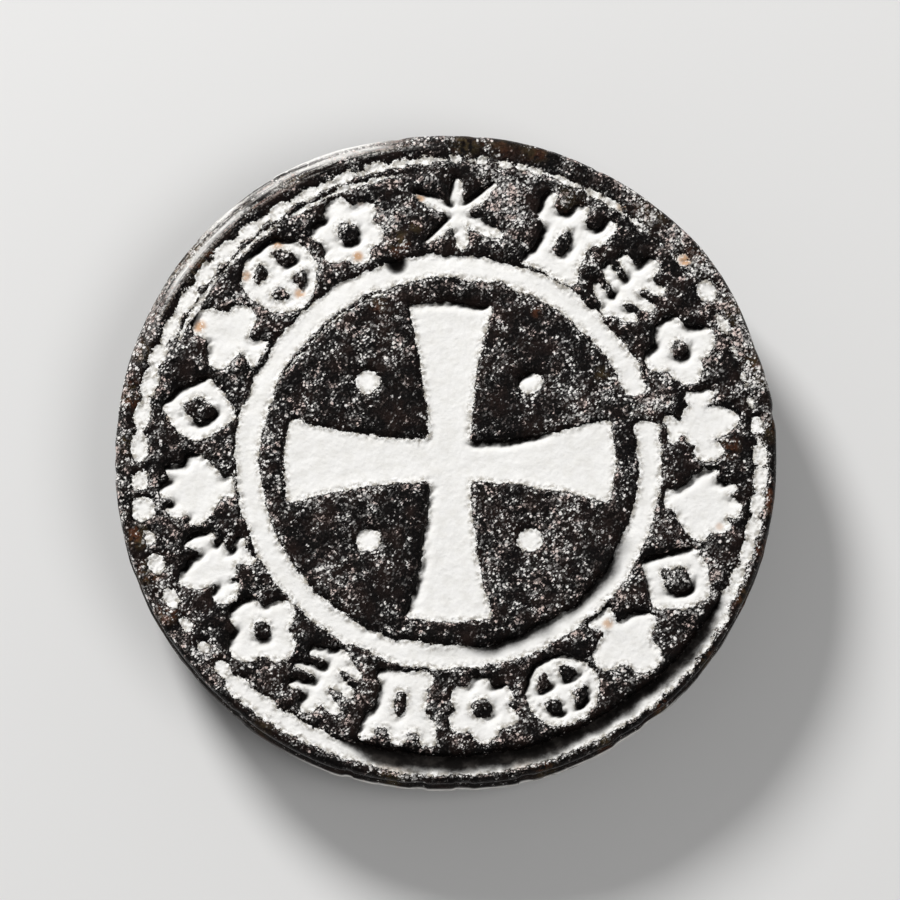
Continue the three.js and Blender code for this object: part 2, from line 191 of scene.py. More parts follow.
# The border's groove: an angle clockwise from the top, how far outside the border's circle it lies, its
# half width, and how far it is hollowed out towards the middle, where it has lost its powder
BORDER_OUTWARD = 0.12
GROOVE = [
    (0, 0.00, 0.05, 0), (12, 0.00, 0.04, 0), (15, 0.02, 0.08, 0), (33, 0.03, 0.11, 0),
    (35, -0.08, 0.03, 0), (47, -0.10, 0.00, 0), (50, -0.10, -0.10, 0), (83, -0.08, -0.10, 0),
    (88, 0.00, 0.15, 0), (116, 0.05, 0.18, 0), (119, 0.14, 0.06, 0.7), (126, 0.24, -0.02, 0.8),
    (137, 0.26, 0.00, 0.8), (140, 0.30, 0.14, 1), (154, 0.32, 0.10, 1), (160, 0.34, 0.02, 1),
    (186, 0.36, 0.00, 1), (194, 0.32, 0.05, 1), (198, 0.22, 0.25, 0.9), (204, 0.08, 0.40, 0),
    (223, 0.05, 0.39, 0), (227, 0.00, 0.04, 0), (230, 0.00, -0.10, 0), (268, 0.00, -0.06, 0),
    (271, 0.00, 0.12, 0), (284, 0.00, 0.20, 0), (321, 0.00, 0.19, 0), (328, -0.06, 0.18, 0),
    (336, -0.05, 0.14, 0), (345, -0.12, 0.07, 0), (352, 0.00, 0.05, 0), (360, 0.00, 0.05, 0),
]
HOLLOW_HALF_WIDTH = 0.52
HOLLOW_INWARD = 0.04
LEAST_HOLLOW = 0.1

# The beads: a circle has a squareness of 2, and each one differs a little in its angle, place and size
BEAD_SQUARENESS = 2.2
BEAD_TURN = 0.4
BEAD_SHIFT = 0.02
BEAD_GROWTH = 0.07

# Runs of beads: the first and the last angle, how many, how far outside the border's circle they lie, and
# a bead's half length and half width
BEAD_RUNS = [
    (1.5, 10.5, 3, 0.00, 0.34, 0.20), (16.5, 21.5, 2, 0.02, 0.34, 0.14),
    (28.0, 32.0, 2, 0.06, 0.44, 0.19), (49.0, 49.0, 1, 0.08, 0.34, 0.20),
    (56.3, 56.3, 1, 0.08, 0.52, 0.42), (63.0, 63.0, 1, -0.12, 0.42, 0.21),
    (68.6, 78.8, 3, -0.14, 0.30, 0.09), (83.6, 83.6, 1, -0.05, 0.42, 0.27),
    (88.6, 117.0, 7, 0.02, 0.58, 0.35), (120.8, 136.0, 4, 0.27, 0.50, 0.28),
    (205.0, 222.0, 4, 0.06, 0.66, 0.47), (226.8, 226.8, 1, 0.00, 0.46, 0.36),
    (231.8, 237.5, 2, 0.00, 0.36, 0.24), (243.2, 250.3, 2, 0.00, 0.46, 0.36),
    (254.8, 254.8, 1, -0.06, 0.38, 0.27), (260.8, 260.8, 1, -0.05, 0.54, 0.48),
    (266.0, 266.0, 1, -0.02, 0.44, 0.35), (272.5, 320.0, 9, 0.00, 0.63, 0.39),
    (326.0, 333.0, 2, -0.05, 0.58, 0.32), (340.0, 346.0, 2, 0.00, 0.54, 0.24),
    (350.8, 356.0, 2, 0.00, 0.38, 0.20),
]

# A finer groove just inside the border: how far in it lies, its half width, and its span
INNER_LINE_INSET = 0.55
INNER_LINE_HALF_WIDTH = 0.075
INNER_LINE_SPAN = (288, 297, 347, 356)

# Four tables list spots by their angle clockwise from the top, radius, reach and strength. The first one
# holds the flaws of the inner ring, whose cut is narrower there
RING_FLAWS = [
    (74.6, 9.40, 0.95, 0.9), (74.0, 8.80, 0.85, 0.8), (15.0, 8.60, 0.40, 0.16), (139.0, 8.65, 0.45, 0.12),
]

# Where the ring has lost powder: a hole in it, as an angle, a radius and a reach, and its inner half, as
# angles clockwise from the top with the share that is lost. There the powder lies lower and is painted
# dark, as bare metal and shadow
RING_HOLE = (345.5, 9.50, 0.62)
RING_LOSS = [(112, 0), (125, 0.8), (138, 1), (144, 0.45), (151, 0.8), (166, 1), (176, 0.1), (190, 0)]

# A hair line just inside the ring: how far in it lies, its half width, and its span
RING_LINE_INSET = 0.18
RING_LINE_HALF_WIDTH = 0.035
RING_LINE_SPAN = (292, 302, 338, 346)

# Rusty patches of the metal, as spots
RUST_PATCHES = [
    (3, 15.0, 1.0, 0.7), (9, 15.1, 1.0, 0.5), (15, 15.1, 1.0, 0.5), (24, 13.4, 1.0, 0.4),
    (38, 15.0, 1.2, 0.5), (50, 15.0, 1.0, 0.5), (62, 14.9, 1.0, 0.7), (73, 14.9, 1.2, 0.8),
    (84, 14.9, 1.0, 0.6), (97, 14.8, 1.0, 0.8), (106, 14.7, 0.8, 0.6), (115, 14.6, 0.8, 0.8),
    (128, 14.8, 0.7, 0.6), (140, 14.9, 0.5, 1.0), (152, 14.8, 0.6, 0.6), (163, 14.7, 0.8, 0.6),
    (190, 14.6, 0.9, 0.7), (214, 14.7, 0.7, 0.6), (241, 14.6, 0.7, 0.9), (249, 14.6, 0.8, 0.9),
    (256, 14.5, 0.8, 1.0), (273, 14.5, 0.7, 0.8), (282, 14.6, 0.9, 1.0), (290, 14.8, 0.7, 1.0),
    (309, 14.8, 1.3, 0.9), (87, 12.6, 0.8, 0.7), (117, 12.9, 0.5, 0.8), (347, 10.4, 0.8, 0.8),
    (352, 11.0, 0.4, 0.7), (30, 8.0, 0.4, 0.6), (336, 7.9, 0.5, 0.6), (60, 8.0, 0.5, 0.6),
]

# Spots where pale dust lies thick on the metal, or, with a strength below 0, where there is hardly any
DUST_PATCHES = [
    (8, 13.3, 1.0, 0.7), (12, 12.4, 1.3, 0.8), (14, 11.3, 1.0, 0.6), (22, 13.6, 0.9, 0.5),
    (38, 14.6, 0.9, 1.0), (45, 14.6, 0.9, 0.9), (51, 14.5, 0.9, 0.9), (60, 14.7, 0.9, 0.8),
    (67, 14.5, 0.9, 0.9), (75, 14.5, 1.1, 0.9), (82, 14.7, 0.8, 0.8), (75, 9.20, 0.8, 0.6),
    (75, 10.1, 0.8, 0.5), (90, 11.6, 1.0, 0.5), (112, 11.8, 1.2, 0.9), (113, 13.2, 0.6, 0.7),
    (187, 14.7, 0.9, 0.8), (210, 13.2, 0.8, 0.5), (234, 14.4, 0.8, 0.6), (246, 14.2, 0.7, 0.6),
    (265, 12.9, 0.9, 0.8), (274, 14.4, 0.8, 0.8), (283, 14.3, 0.7, 0.5), (297, 14.6, 0.9, 0.7),
    (308, 11.5, 1.2, 0.6), (325, 11.4, 1.2, 0.5), (345, 11.2, 1.2, 0.6), (355, 12.9, 0.8, 0.5),
    (133, 5.2, 3.6, 0.32), (112, 6.6, 1.8, 0.15), (160, 6.8, 1.8, 0.15), (228, 6.6, 2.2, 0.3),
    (62, 6.2, 2.2, 0.3), (290, 7.2, 1.5, 0.3), (3, 15.0, 1.1, -0.9), (10, 15.0, 1.1, -0.9),
    (17, 15.0, 1.1, -0.9),
]

# The dust on the band, how much cleaner the middle is, and what a whole patch adds, and what a cut's brink
# adds on the side that faces the key light, as painted highlight
BAND_DUST = 0.18
MIDDLE_CLEAN = 0.12
PATCH_DUST = 0.75
LIT_BRINK_GLINTS = 0.25

# This is added to the dust and painted glints where they are kept as a value from 0 to 1, so that they can
# be less than none
SPARSEST = 0.2

# Ochre stains of the powder, as spots
POWDER_STAINS = [
    (33.6, 14.25, 0.34, 1.0), (49.0, 14.22, 0.50, 1.0), (322.5, 12.85, 0.46, 1.0),
    (313.0, 12.65, 0.36, 0.9), (299.0, 12.95, 0.44, 1.0), (278.5, 13.00, 0.28, 0.7),
    (341.5, 12.90, 0.38, 0.8), (353.8, 12.35, 0.34, 1.0), (256.5, 12.30, 0.28, 0.6),
    (233.5, 13.05, 0.28, 0.5), (319.0, 10.35, 0.36, 0.9), (336.5, 10.40, 0.36, 1.0),
    (136.5, 10.40, 0.36, 0.8), (104.0, 12.60, 0.28, 0.5), (166.5, 14.60, 0.80, 0.3),
    (190.0, 14.60, 1.00, 0.3),
]

# How many passes of smoothing round the hinge and the handle, and how uneven they are
ROUNDING_PASSES = 6
UNEVENNESS = 0.012

# Colours of the metal, from bare to worn, of its worn rim and back edge where they are painted bright as
# highlights, and of the dust on it, whose specks also stand in for painted glints
NEAR_BLACK = (0.0035, 0.003, 0.0029, 1)
DEEP_BROWN = (0.013, 0.0076, 0.0062, 1)
GREY_BROWN = (0.036, 0.027, 0.024, 1)
SIENNA = (0.095, 0.034, 0.016, 1)
OLIVE = (0.062, 0.044, 0.020, 1)
PALE_HIGHLIGHT_METAL = (0.82, 0.80, 0.76, 1)
OCHRE_HIGHLIGHT_METAL = (0.38, 0.30, 0.21, 1)
PINK_HIGHLIGHT_METAL = (0.46, 0.27, 0.22, 1)
HIGHLIGHT_WHITE = (0.92, 0.90, 0.87, 1)
PALE_DUST_AND_GLINT = (0.93, 0.905, 0.875, 1)
ROSY_DUST_AND_GLINT = (0.74, 0.60, 0.55, 1)
DARK_BRONZE = (0.035, 0.026, 0.019, 1)
WARM_BRONZE = (0.10, 0.066, 0.040, 1)
GREY_OLIVE = (0.05, 0.05, 0.042, 1)
WORN_BRONZE = (0.36, 0.25, 0.15, 1)

# Colours of the powder, of the painted shadow where it has shrunk from the wall or is lost, and how
# steeply that painted shade deepens where it is lost
WHITEST = (0.93, 0.918, 0.893, 1)
OFF_WHITE = (0.86, 0.845, 0.81, 1)
GREY_GRAIN = (0.66, 0.63, 0.59, 1)
OCHRE_STAIN = (0.60, 0.37, 0.22, 1)
SMUDGE = (0.34, 0.31, 0.26, 1)
DEEPEST_SHADE = (0.006, 0.005, 0.0045, 1)
DEEP_SHADE = (0.024, 0.021, 0.019, 1)
BARE_METAL = (0.02, 0.016, 0.014, 1)
LOSS_SHADE_FADE = 2.6

# Colours of the floor and the room
FLOOR_GREY = (0.80, 0.795, 0.785, 1)
WALL_GREY = (0.56, 0.56, 0.56, 1)
CEILING_GREY = (0.10, 0.10, 0.102, 1)

# The photograph's view: how wide its picture is at the face, how far up from the level it looks from, and
# how far right of the disc's middle and above it the picture's middle lies
PICTURE_WIDTH = 40.75
CAMERA_ELEVATION = 76.9
PICTURE_RIGHT = 0.2
PICTURE_UP = 0.32


# Noise: every layer is a grid of random values, turned by its own angle and read with smooth steps

SEED = 7
LATTICE = 512
NOISE_LAYERS = 40
lattices = np.random.default_rng(SEED).uniform(-1, 1, (NOISE_LAYERS, LATTICE, LATTICE))


def noise(x, y, size, layer):
    """Smooth noise from -1 to 1 over a plane, with lumps of about the given size"""
    cosine = math.cos(layer) / size
    sine = math.sin(layer) / size
    u = x * cosine - y * sine + LATTICE / 3
    v = x * sine + y * cosine + LATTICE / 3
    column = np.floor(u).astype(int)
    row = np.floor(v).astype(int)
    s = u - column
    t = v - row
    s = s * s * (3 - 2 * s)
    t = t * t * (3 - 2 * t)
    left = column % LATTICE
    right = (column + 1) % LATTICE
    low = row % LATTICE
    high = (row + 1) % LATTICE
    lattice = lattices[layer]
    lower = lattice[left, low] * (1 - s) + lattice[right, low] * s
    upper = lattice[left, high] * (1 - s) + lattice[right, high] * s
    return lower * (1 - t) + upper * t


def rough(x, y, size, layer, octaves=3):
    """Noise with finer and weaker lumps added to it"""
    return sum(noise(x, y, size / 2**k, layer + k) / 2**k for k in range(octaves))


def lumpy(x, y, layers):
    """The sum of noise layers, each one given as its height, the size of its lumps, and its number"""
    return sum(height * noise(x, y, size, layer) for height, size, layer in layers)


def smooth(value, low, high):
    """0 below low, 1 above high, and a smooth step between them"""
    t = np.clip((value - low) / (high - low), 0, 1)
    return t * t * (3 - 2 * t)


def over(angle, span):
    """1 over a span of angles, with smooth steps at its start and its end"""
    start, whole, fading, end = span
    return smooth(angle, start, whole) * (1 - smooth(angle, fading, end))


def from_middle(x, y):
    """How far points are from the engraving's middle"""
    return np.hypot(x - CENTRE[0], y - CENTRE[1])


def clockwise(x, y):
    """The angle of a point round the engraving's middle, in degrees clockwise from the top"""
    return (90 - np.degrees(np.arctan2(y - CENTRE[1], x - CENTRE[0]))) % 360


def apart(angle, other):
    """How far two angles in degrees are apart, from 0 to 180"""
    return np.abs((angle - other + 180) % 360 - 180)


def spot(x, y, angle, radius, reach):
    """1 at an angle clockwise from the top and a radius from the middle, fading to 0 at its reach"""
    turn = math.radians(90 - angle)
    off_x = x - CENTRE[0] - radius * math.cos(turn)
    off_y = y - CENTRE[1] - radius * math.sin(turn)
    return 1 - smooth(np.hypot(off_x, off_y), 0.25 * reach, reach)


def spots(x, y, table):
    """The sum of a table's spots, each one given as its angle, radius, reach and strength"""
    return sum(strength * spot(x, y, *place) for *place, strength in table)


def rows(*columns):
    return np.stack(columns, axis=1)


# Meshes

def new_mesh(name, points, quads, triangles=(), **values):
    """A smooth shaded object from points in millimetres, with a named value at each point"""
    quads = np.asarray(quads, int).reshape(-1, 4)
    triangles = np.asarray(triangles, int).reshape(-1, 3)
    corners_used = np.concatenate([quads.ravel(), triangles.ravel()])
    quads_end = len(quads) * 4
    starts = np.concatenate([np.arange(0, quads_end, 4), quads_end + np.arange(len(triangles)) * 3])
    mesh = bpy.data.meshes.new(name)
    mesh.vertices.add(len(points))
    mesh.vertices.foreach_set("co", (np.asarray(points) * MM).astype(np.float32).ravel())
    mesh.loops.add(len(corners_used))
    mesh.loops.foreach_set("vertex_index", corners_used.astype(np.int32))
    mesh.polygons.add(len(starts))
    mesh.polygons.foreach_set("loop_start", starts.astype(np.int32))
    mesh.update(calc_edges=True)
    mesh.validate()
    return new_object(name, mesh, **values)


def new_object(name, mesh, **values):
    """A smooth shaded object with named values"""
    mesh.shade_smooth()
    made = bpy.data.objects.new(name, mesh)
    bpy.context.scene.collection.objects.link(made)
    mark(made, **values)
    return made


def mark(piece, **values):
    """Gives a piece named values from 0 to 1, one for each of its points"""
    for key, value in values.items():
        attribute = piece.data.attributes.new(key, "FLOAT", "POINT")
        attribute.data.foreach_set("value", np.clip(value, 0, 1).astype(np.float32))


def read(items, name, width, kind=float):
    """A property of all points or edges of a mesh, as rows of numbers"""
    values = np.empty(len(items) * width, kind)
    items.foreach_get(name, values)
    return values.reshape(-1, width)


def dress(piece, node, body, material):
    """Gives a piece its material, and puts it in place of a CAD node"""
    piece.data.materials.clear()
    piece.data.materials.append(material)
    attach(piece, body)
    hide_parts(node)


# The cuts. Each one tells how far inside its mouth a point lies, which is negative outside it

def inside_line(half_width, shown, off):
    """How far inside a fine line points lie that are off its middle, where it shows in part"""
    return half_width * shown - HIDDEN_OFF * (1 - shown) - off


def top_outlines(node):
    """The outlines of a node's flat top, each one as an array of points in order"""
    mesh = frame["nodes"][node].data
    points = [tuple(round(c / MM, 3) for c in vertex.co) for vertex in mesh.vertices]
    top = max(point[2] for point in points)
    edges = set()
    for polygon in mesh.polygons:
        corner = [points[i] for i in polygon.vertices]
        if min(point[2] for point in corner) < top:
            continue
        for edge in zip(corner, corner[1:] + corner[:1]):
            if edge[::-1] in edges:
                edges.remove(edge[::-1])
            else:
                edges.add(edge)
    following = dict(sorted(edges))
    outlines = []
    while following:
        here = min(following)
        outline = []
        while here in following:
            outline.append(here[:2])
            here = following.pop(here)
        outlines.append(np.array(outline))
    return outlines


def worn_back(outline):
    """An outline that runs anticlockwise round its cut, with the ends of its narrow slits worn back"""
    before = np.roll(outline, 1, axis=0) - outline
    after = np.roll(outline, -1, axis=0) - outline
    turn = before[:, 0] * after[:, 1] - before[:, 1] * after[:, 0]
    opening = np.degrees(np.arctan2(np.abs(turn), (before * after).sum(axis=1)))
    slit = (turn > 0) & (opening < NARROW_SLIT)
    return np.where(slit[:, None], outline + SLIT_WEAR * (before + after) / 2, outline)


def softened(outline):
    """The same outline, stepped evenly and with its corners rounded a little"""
    closed = np.vstack([outline, outline[:1]])
    lengths = np.concatenate([[0], np.cumsum(np.hypot(*np.diff(closed, axis=0).T))])
    count = max(LEAST_OUTLINE_POINTS, int(lengths[-1] / OUTLINE_STEP))
    places = np.linspace(0, lengths[-1], count, endpoint=False)
    points = rows(*(np.interp(places, lengths, column) for column in closed.T))
    for _ in range(CORNER_SOFTENING):
        points = (np.roll(points, 1, axis=0) + 2 * points + np.roll(points, -1, axis=0)) / 4
    return points


class Cut:
    """What every cut has: its node, its depth and the box that it reaches over"""

    margin = 0.5

    def __init__(self, node):
        low, high = corners(node)
        self.node = node
        self.depth = FACE - low[2]
        self.low = low[:2] - self.margin
        self.high = high[:2] + self.margin

    def near(self, x, y):
        """Which points the cut may reach"""
        return (x > self.low[0]) & (x < self.high[0]) & (y > self.low[1]) & (y < self.high[1])

    def lost(self, x, y):
        """How much of the powder is lost, from 0 to 1"""
        return 0 * x


class Outline(Cut):
    """A cut whose mouth follows the top of its CAD fill"""

    block = 3000

    def __init__(self, node):
        super().__init__(node)
        outlines = [softened(worn_back(outline)) for outline in top_outlines(node)]
        self.starts = np.vstack(outlines)
        self.ends = np.vstack([np.roll(outline, -1, axis=0) for outline in outlines])

    def distance(self, x, y):
        flat_x = x.ravel() + WOBBLE * rough(x, y, WOBBLE_SIZE, 1).ravel()
        flat_y = y.ravel() + WOBBLE * rough(x, y, WOBBLE_SIZE, 4).ravel()
        found = [
            self.exact(flat_x[i:i + self.block, None], flat_y[i:i + self.block, None])
            for i in range(0, len(flat_x), self.block)
        ]
        return np.concatenate(found).reshape(x.shape) + FILL_INSET + lumpy(x, y, RAGGED_EDGE)

    def exact(self, x, y):
        """The distance from the outline's nearest edge, which is negative outside the outline"""
        start_x, start_y = self.starts.T
        end_x, end_y = self.ends.T
        span_x = end_x - start_x
        span_y = end_y - start_y
        along = ((x - start_x) * span_x + (y - start_y) * span_y) / (span_x**2 + span_y**2)
        along = np.clip(along, 0, 1)
        nearest = np.hypot(start_x + along * span_x - x, start_y + along * span_y - y).min(axis=1)
        crossed = (start_y > y) != (end_y > y)
        rise = np.where(span_y == 0, 1, span_y)
        crossed &= x < start_x + (y - start_y) * span_x / rise
        inside = crossed.sum(axis=1) % 2 == 1
        return np.where(inside, nearest, -nearest)


class RoundCut(Cut):
    """A cut that runs round the engraving's middle"""

    def __init__(self, node):
        super().__init__(node)
        self.radii = [from_middle(*outline.T).mean() for outline in top_outlines(node)]

    def near(self, x, y):
        return super().near(x, y) & (np.abs(from_middle(x, y) - self.radius) < ROUND_CUT_REACH)


class Ring(RoundCut):
    """The plain ring, with edges as wavy as a row of tool strokes leaves them"""

    def __init__(self, node):
        super().__init__(node)
        self.outer = max(self.radii) + FILL_INSET
        self.inner = min(self.radii) - FILL_INSET
        self.radius = (self.outer + self.inner) / 2

    def distance(self, x, y):
        radius = from_middle(x, y)
        outer = self.outer + lumpy(x, y, RING_OUTSIDE)
        inner = self.inner + lumpy(x, y, RING_INSIDE)
        inside = np.minimum(outer - radius, radius - inner) - spots(x, y, RING_FLAWS)
        off = np.abs(radius - inner + RING_LINE_INSET)
        in_line = inside_line(RING_LINE_HALF_WIDTH, over(clockwise(x, y), RING_LINE_SPAN), off)
        return np.maximum(inside, in_line) + lumpy(x, y, RAGGED_EDGE)

    def lost(self, x, y):
        share = np.interp(clockwise(x, y), *np.array(RING_LOSS).T)
        inwards = self.radius - from_middle(x, y) + lumpy(x, y, RING_LOSS_EDGE)
        return np.maximum(share * smooth(inwards, -0.3, 0.6), spot(x, y, *RING_HOLE))


class Border(RoundCut):
    """A chain of beads along a groove, worn and smeared as its tables say"""

    margin = 0.8

    def __init__(self, node):
        super().__init__(node)
        self.radius = np.mean(self.radii) + BORDER_OUTWARD
        beads = []
        random = np.random.default_rng(SEED + 1)
        for first, last, count, outward, half_length, half_width in BEAD_RUNS:
            for angle in np.linspace(first, last, count):
                turn, shift, size = random.uniform(-1, 1, 3)
                angle += BEAD_TURN * turn
                size = 1 + BEAD_GROWTH * size
                beads.append((angle, outward + BEAD_SHIFT * shift, half_length * size, half_width * size))
        self.beads = np.array(beads).T
        angles = np.append(self.beads[0], self.beads[0][0] + 360)
        self.limits = (angles[:-1] + angles[1:]) / 2

    def groove(self, x, y):
        """How far outside the border's circle a point lies, and the groove's values at its angle"""
        table = np.array(GROOVE).T
        values = [np.interp(clockwise(x, y), table[0], row) for row in table[1:]]
        return from_middle(x, y) - self.radius + lumpy(x, y, GROOVE_WANDER), values

    def distance(self, x, y):
        angle = clockwise(x, y)
        out, (outward, half_width, hollow) = self.groove(x, y)
        in_groove = half_width + lumpy(x, y, GROOVE_EDGE) - np.abs(out - outward)
        in_hollow = hollow * HOLLOW_HALF_WIDTH + lumpy(x, y, HOLLOW_EDGE) - np.abs(out + HOLLOW_INWARD)
        in_hollow = in_hollow - HIDDEN_OFF * (hollow < LEAST_HOLLOW)
        shown = over(angle, INNER_LINE_SPAN) * (0.92 + lumpy(x, y, INNER_LINE_STRENGTH))
        off = np.abs(out + INNER_LINE_INSET + lumpy(x, y, INNER_LINE_WANDER))
        in_line = inside_line(INNER_LINE_HALF_WIDTH, shown, off)
        nearest = np.searchsorted(self.limits, angle) % len(self.limits)
        middle, outward, half_length, half_width = [row[nearest] for row in self.beads]
        along = np.radians(apart(angle, middle)) * self.radius
        out_of_round = (along / half_length) ** BEAD_SQUARENESS
        out_of_round = out_of_round + (np.abs(out - outward) / half_width) ** BEAD_SQUARENESS
        in_bead = (1 - out_of_round ** (1 / BEAD_SQUARENESS)) * half_width
        return np.max([in_bead, in_groove, in_hollow, in_line], axis=0) + lumpy(x, y, RAGGED_EDGE)

    def lost(self, x, y):
        out, (outward, half_width, hollow) = self.groove(x, y)
        inwards = outward - half_width - out + lumpy(x, y, HOLLOW_LOSS_EDGE)
        return np.minimum(1.2 * hollow, 1) * smooth(inwards, -0.22, 0.42)


fill_slots = {part["node"]: part["material_slot"] for part in frame["record"]["subparts"]}
fills = sorted(node for node, slot in fill_slots.items() if slot == "white_powder")
special_cuts = {"ring_fill": Ring, "border_fill": Border}
cuts = [special_cuts.get(node, Outline)(node) for node in fills]


# The metal's surface

def relief(x, y):
    """The unevenness of the face: corroded and lumpy in the band, and smoother in the middle"""
    roughness = 0.55 + 0.45 * smooth(from_middle(x, y), 8.4, 9.8)
    lumps = 0.016 * rough(x, y, 1.7, 14) + 0.026 * roughness * rough(x, y, 0.5, 17)
    pits = smooth(rough(x, y, 0.42, 20), 0.55, 1.1)
    return lumps - PIT_DEPTH * roughness * pits - FACE_SINK


def metal(x, y):
    """The height of the metal over a point of the face, and how far inside any cut the point lies"""
    height = relief(x, y)
    inside = np.full(x.shape, -1.0)
    for cut in cuts:
        near = cut.near(x, y)
        if not near.any():
            continue
        distance = cut.distance(x[near], y[near])
        step = np.clip(distance / WALL_WIDTH, 0, 1)
        trench = (cut.depth - SHOULDER_DROP + FLOOR_DROP) * (1 - (1 - step) ** WALL_CURVE)
        shoulder = SHOULDER_DROP * np.exp(np.minimum(distance, 0) / SHOULDER_WIDTH)
        height[near] = height[near] * (1 - step) - shoulder - trench
        inside[near] = np.maximum(inside[near], distance)
    return FACE + height, inside


# The disc, made as rings of points from the middle of the face over the rim to the middle of the back

def ring_count(radius, outermost):
    """How many points a ring has"""
    count = outermost
    limit = HALVING_RADIUS
    while radius < limit and count > LEAST_RING_POINTS:
        count //= 2
        limit /= 2
    return count


def ring_angles(count):
    return TURN * np.arange(count) / count


def around(angle, radius=RADIUS):
    return radius * np.cos(angle), radius * np.sin(angle)


def plain_ring(angle, radius, level):
    """A ring of points that lie in no cut"""
    return *around(angle, radius), level + 0 * angle, 0 * angle - 1


def rim_radius():
    """The CAD disc's radius, as points by angle"""
    mesh = frame["nodes"]["disc"].data
    points = np.array([vertex.co for vertex in mesh.vertices]) / MM
    side = points[(points[:, 2] > BACK + SIDE_ABOVE_BACK) & (points[:, 2] < FACE - SIDE_BELOW_FACE)]
    side = side[np.hypot(side[:, 0], side[:, 1]) > SIDE_LEAST_RADIUS]
    order = np.argsort(np.arctan2(side[:, 1], side[:, 0]))
    return np.arctan2(side[order, 1], side[order, 0]), np.hypot(side[order, 0], side[order, 1])


rim_angles, rim_radii = rim_radius()


def rim(angle):
    """The worn disc's radius"""
    radius = np.interp(angle, rim_angles, rim_radii, period=TURN)
    x, y = around(angle)
    nicks = smooth(noise(x, y, 0.8, 24), 0.45, 0.95)
    radius = radius + np.interp((90 - np.degrees(angle)) % 360, *np.array(RIM_SHAPE).T)
    return radius + RIM_GROWTH + lumpy(x, y, RIM_LUMPS) - NICK_DEPTH * nicks


def bevel_width(angle):
    """How far in from the rim the bevel begins"""
    side = apart(90 - np.degrees(angle), BEVEL_SIDE)
    lumps = lumpy(*around(angle), BEVEL_LUMPS)
    return BEVEL_WIDTH + BEVEL_EXTRA * (1 - smooth(side, 15, 70)) + lumps


def face_rings():
    rings = []
    most = RADIUS - BEVEL_WIDTH
    for radius in np.arange(FACE_STEP, most + FACE_STEP / 2, FACE_STEP):
        angle = ring_angles(ring_count(radius, RING_POINTS))
        reach = (rim(angle) - bevel_width(angle)) / most
        reach = 1 + (reach - 1) * smooth(radius, ROUND_UP_TO, most)
        x, y = around(angle, radius * reach)
        rings.append((x, y, *metal(x, y)))
    return rings


def bevel_rings(last):
    """Over the rounded edge: each ring is a share of the way out and down from the last one of the face"""
    rings = []
    angle = ring_angles(RING_POINTS)
    edge = rim(angle)
    start = np.hypot(last[0], last[1])
    for step in range(1, BEVEL_STEPS + 1):
        turn = math.pi / 2 * step / BEVEL_STEPS
        radius = start + (edge - start) * math.sin(turn) ** 0.85
        drop = BEVEL_DROP * (1 - math.cos(turn)) ** 0.8
        streak = 0.022 * noise(RADIUS * angle, 6 * radius, 0.8, 28)
        pitting = 0.02 * rough(*around(angle, radius), 0.45, 29)
        lumps = (streak + pitting) * math.sin(2 * turn)
        level = FACE - FACE_SINK - drop + (last[2] - FACE + FACE_SINK) * math.cos(turn) + lumps
        rings.append(plain_ring(angle, radius, level))
    return rings


def side_rings():
    rings = []
    angle = ring_angles(RING_POINTS)
    edge = rim(angle)
    x, y = around(angle)
    high = FACE - FACE_SINK - BEVEL_DROP
    for level in np.linspace(high, BACK + BACK_ROUNDING, SIDE_STEPS + 1)[1:]:
        swell = 0.02 * rough(x + level, y + 0.7 * level, 0.7, 32)
        hammered = 0.02 * noise(RADIUS * angle, level + 0 * angle, 1.3, 35)
        fade = smooth(high - level, 0, 0.3)
        rings.append(plain_ring(angle, edge + (swell + hammered - 0.02) * fade, level))
    return rings


def back_rings(last):
    rings = []
    angle = ring_angles(RING_POINTS)
    start = np.hypot(last[0], last[1])
    for step in range(1, ROUNDING_STEPS + 1):
        turn = math.pi / 2 * step / ROUNDING_STEPS
        radius = start - BACK_ROUNDING * (1 - math.cos(turn))
        rings.append(plain_ring(angle, radius, BACK + BACK_ROUNDING * (1 - math.sin(turn))))
    for radius in np.arange(BACK_RADIUS, BACK_STEP / 2, -BACK_STEP):
        angle = ring_angles(ring_count(radius, RING_POINTS // 2))
        lumps = 0.02 * rough(*around(angle, radius), 1.6, 36)
        rings.append(plain_ring(angle, radius, BACK - BACK_GROWTH - lumps))
    return rings


def stitched(counts):
    """Faces between rings of points, where a ring may have as many points as the last, half or twice"""
    quads = []
    triangles = []
    start = 0
    for here, after in zip(counts, counts[1:]):
        i = np.arange(min(here, after))
        j = (i + 1) % len(i)
        below = start + here
        if here == after:
            quads.append(rows(start + i, below + i, below + j, start + j))
        else:
            few, many, step = (start, below, 1) if here < after else (below, start, -1)
            halfway = many + 2 * i + 1
            for corner in (
                (few + i, many + 2 * i, halfway),
                (few + i, halfway, few + j),
                (few + j, halfway, many + 2 * j),
            ):
                triangles.append(rows(*corner[::step]))
        start = below
    return np.vstack(quads), np.vstack(triangles)


def fan(tip, start, count, step):
    """Triangles from a tip to a ring of points, which the step runs round in one direction or the other"""
    i = np.arange(count)
    here = start + i
    after = start + (i + 1) % count
    return rows(np.full(count, tip), *(here, after)[::step])


def worn_lines(x, y, z, angle):
    """Painted highlight lines that run along the rim's worn zone, where it is brightest"""
    from_rim = rim(np.arctan2(y, x)) - np.hypot(x, y) + lumpy(x, y, RIM_LINE_WANDER)
    bright = 0 * x
    for depth, half_width, *span in RIM_HIGHLIGHT_LINES:
        bright = np.maximum(bright, over(angle, span) * np.exp(-(((from_rim - depth) / half_width) ** 2)))
    return bright * smooth(z, FACE - 0.5, FACE - 0.35)


